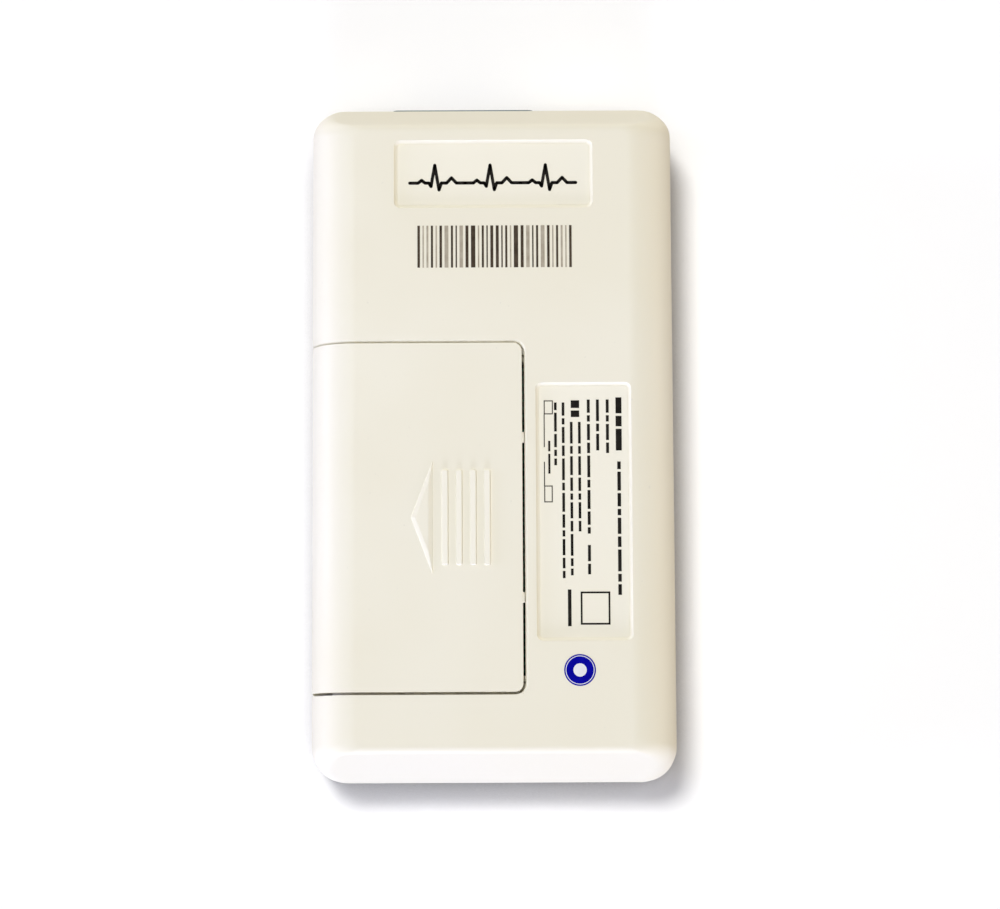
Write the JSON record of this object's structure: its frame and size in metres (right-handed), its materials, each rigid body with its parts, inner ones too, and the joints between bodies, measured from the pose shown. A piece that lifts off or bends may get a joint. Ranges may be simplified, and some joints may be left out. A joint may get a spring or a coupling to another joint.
{
  "type": "holter monitor",
  "caption": "Pocket heart monitor recorder in an ivory case with a sliding battery door, blank labels, a display window, push buttons and a lead socket in its upper end.",
  "frame": {"origin": "centre of the front face, on the plane that the recorder lies on", "axes": "+Z out of the back face, +Y along the case towards the lead connector, +X across the case"},
  "size_m": [0.052, 0.0982, 0.0214],
  "materials": {
    "shell_plastic": "fine satin, ivory",
    "button_plastic": "satin, blue grey",
    "event_button_plastic": "satin, blue",
    "label_film": "satin film, blank",
    "cell_case": "printed jacket with bare steel ends",
    "contact_metal": "nickel plated",
    "circuit_board": "green solder mask",
    "chip_plastic": "matte black",
    "connector_plastic": "dark grey",
    "pin_metal": "gold plated",
    "lens_plastic": "glossy, smoked",
    "display_glass": "display glass",
    "foam": "soft foam",
    "ribbon_film": "amber film",
    "screw_steel": "bright zinc"
  },
  "bodies": {
    "case": {"rear_shell": "shell_plastic", "front_shell": "shell_plastic", "name_label": "label_film", "rating_label": "label_film", "aaa_cell_outer": "cell_case", "aaa_cell_inner": "cell_case", "battery_contact_positive": "contact_metal", "battery_contact_negative": "contact_metal", "battery_contact_bridge": "contact_metal", "main_board": "circuit_board", "processor_chip": "chip_plastic", "memory_chip": "chip_plastic", "amplifier_chip": "chip_plastic", "clock_crystal": "contact_metal", "power_coil": "chip_plastic", "lead_connector_housing": "connector_plastic", "lead_connector_flange": "connector_plastic", "lead_connector_pins": "pin_metal", "display_lens": "lens_plastic", "display_module": "display_glass", "display_carrier": "foam", "display_ribbon": "ribbon_film", "event_switch": "chip_plastic", "up_switch": "chip_plastic", "down_switch": "chip_plastic", "back_switch": "chip_plastic", "confirm_switch": "chip_plastic", "case_screw_1": "screw_steel", "case_screw_2": "screw_steel", "case_screw_3": "screw_steel", "board_screw_1": "screw_steel", "board_screw_2": "screw_steel"},
    "door": {"battery_door": "shell_plastic"},
    "event_key": {"event_button": "event_button_plastic"},
    "up_key": {"up_button": "button_plastic"},
    "down_key": {"down_button": "button_plastic"},
    "back_key": {"back_button": "button_plastic"},
    "confirm_key": {"confirm_button": "button_plastic"}
  },
  "joints": [
    {"name": "door_slide", "type": "slide", "parent": "case", "child": "door", "axis": [-1, 0, 0], "range_m": [0, 0.031]},
    {"name": "event_press", "type": "slide", "parent": "case", "child": "event_key", "axis": [0, 0, 1], "range_m": [0, 0.0004], "stiffness_N_per_m": 800},
    {"name": "up_press", "type": "slide", "parent": "case", "child": "up_key", "axis": [0, 0, 1], "range_m": [0, 0.0004], "stiffness_N_per_m": 800},
    {"name": "down_press", "type": "slide", "parent": "case", "child": "down_key", "axis": [0, 0, 1], "range_m": [0, 0.0004], "stiffness_N_per_m": 800},
    {"name": "back_press", "type": "slide", "parent": "case", "child": "back_key", "axis": [0, 0, 1], "range_m": [0, 0.0004], "stiffness_N_per_m": 800},
    {"name": "confirm_press", "type": "slide", "parent": "case", "child": "confirm_key", "axis": [0, 0, 1], "range_m": [0, 0.0004], "stiffness_N_per_m": 800}
  ]
}
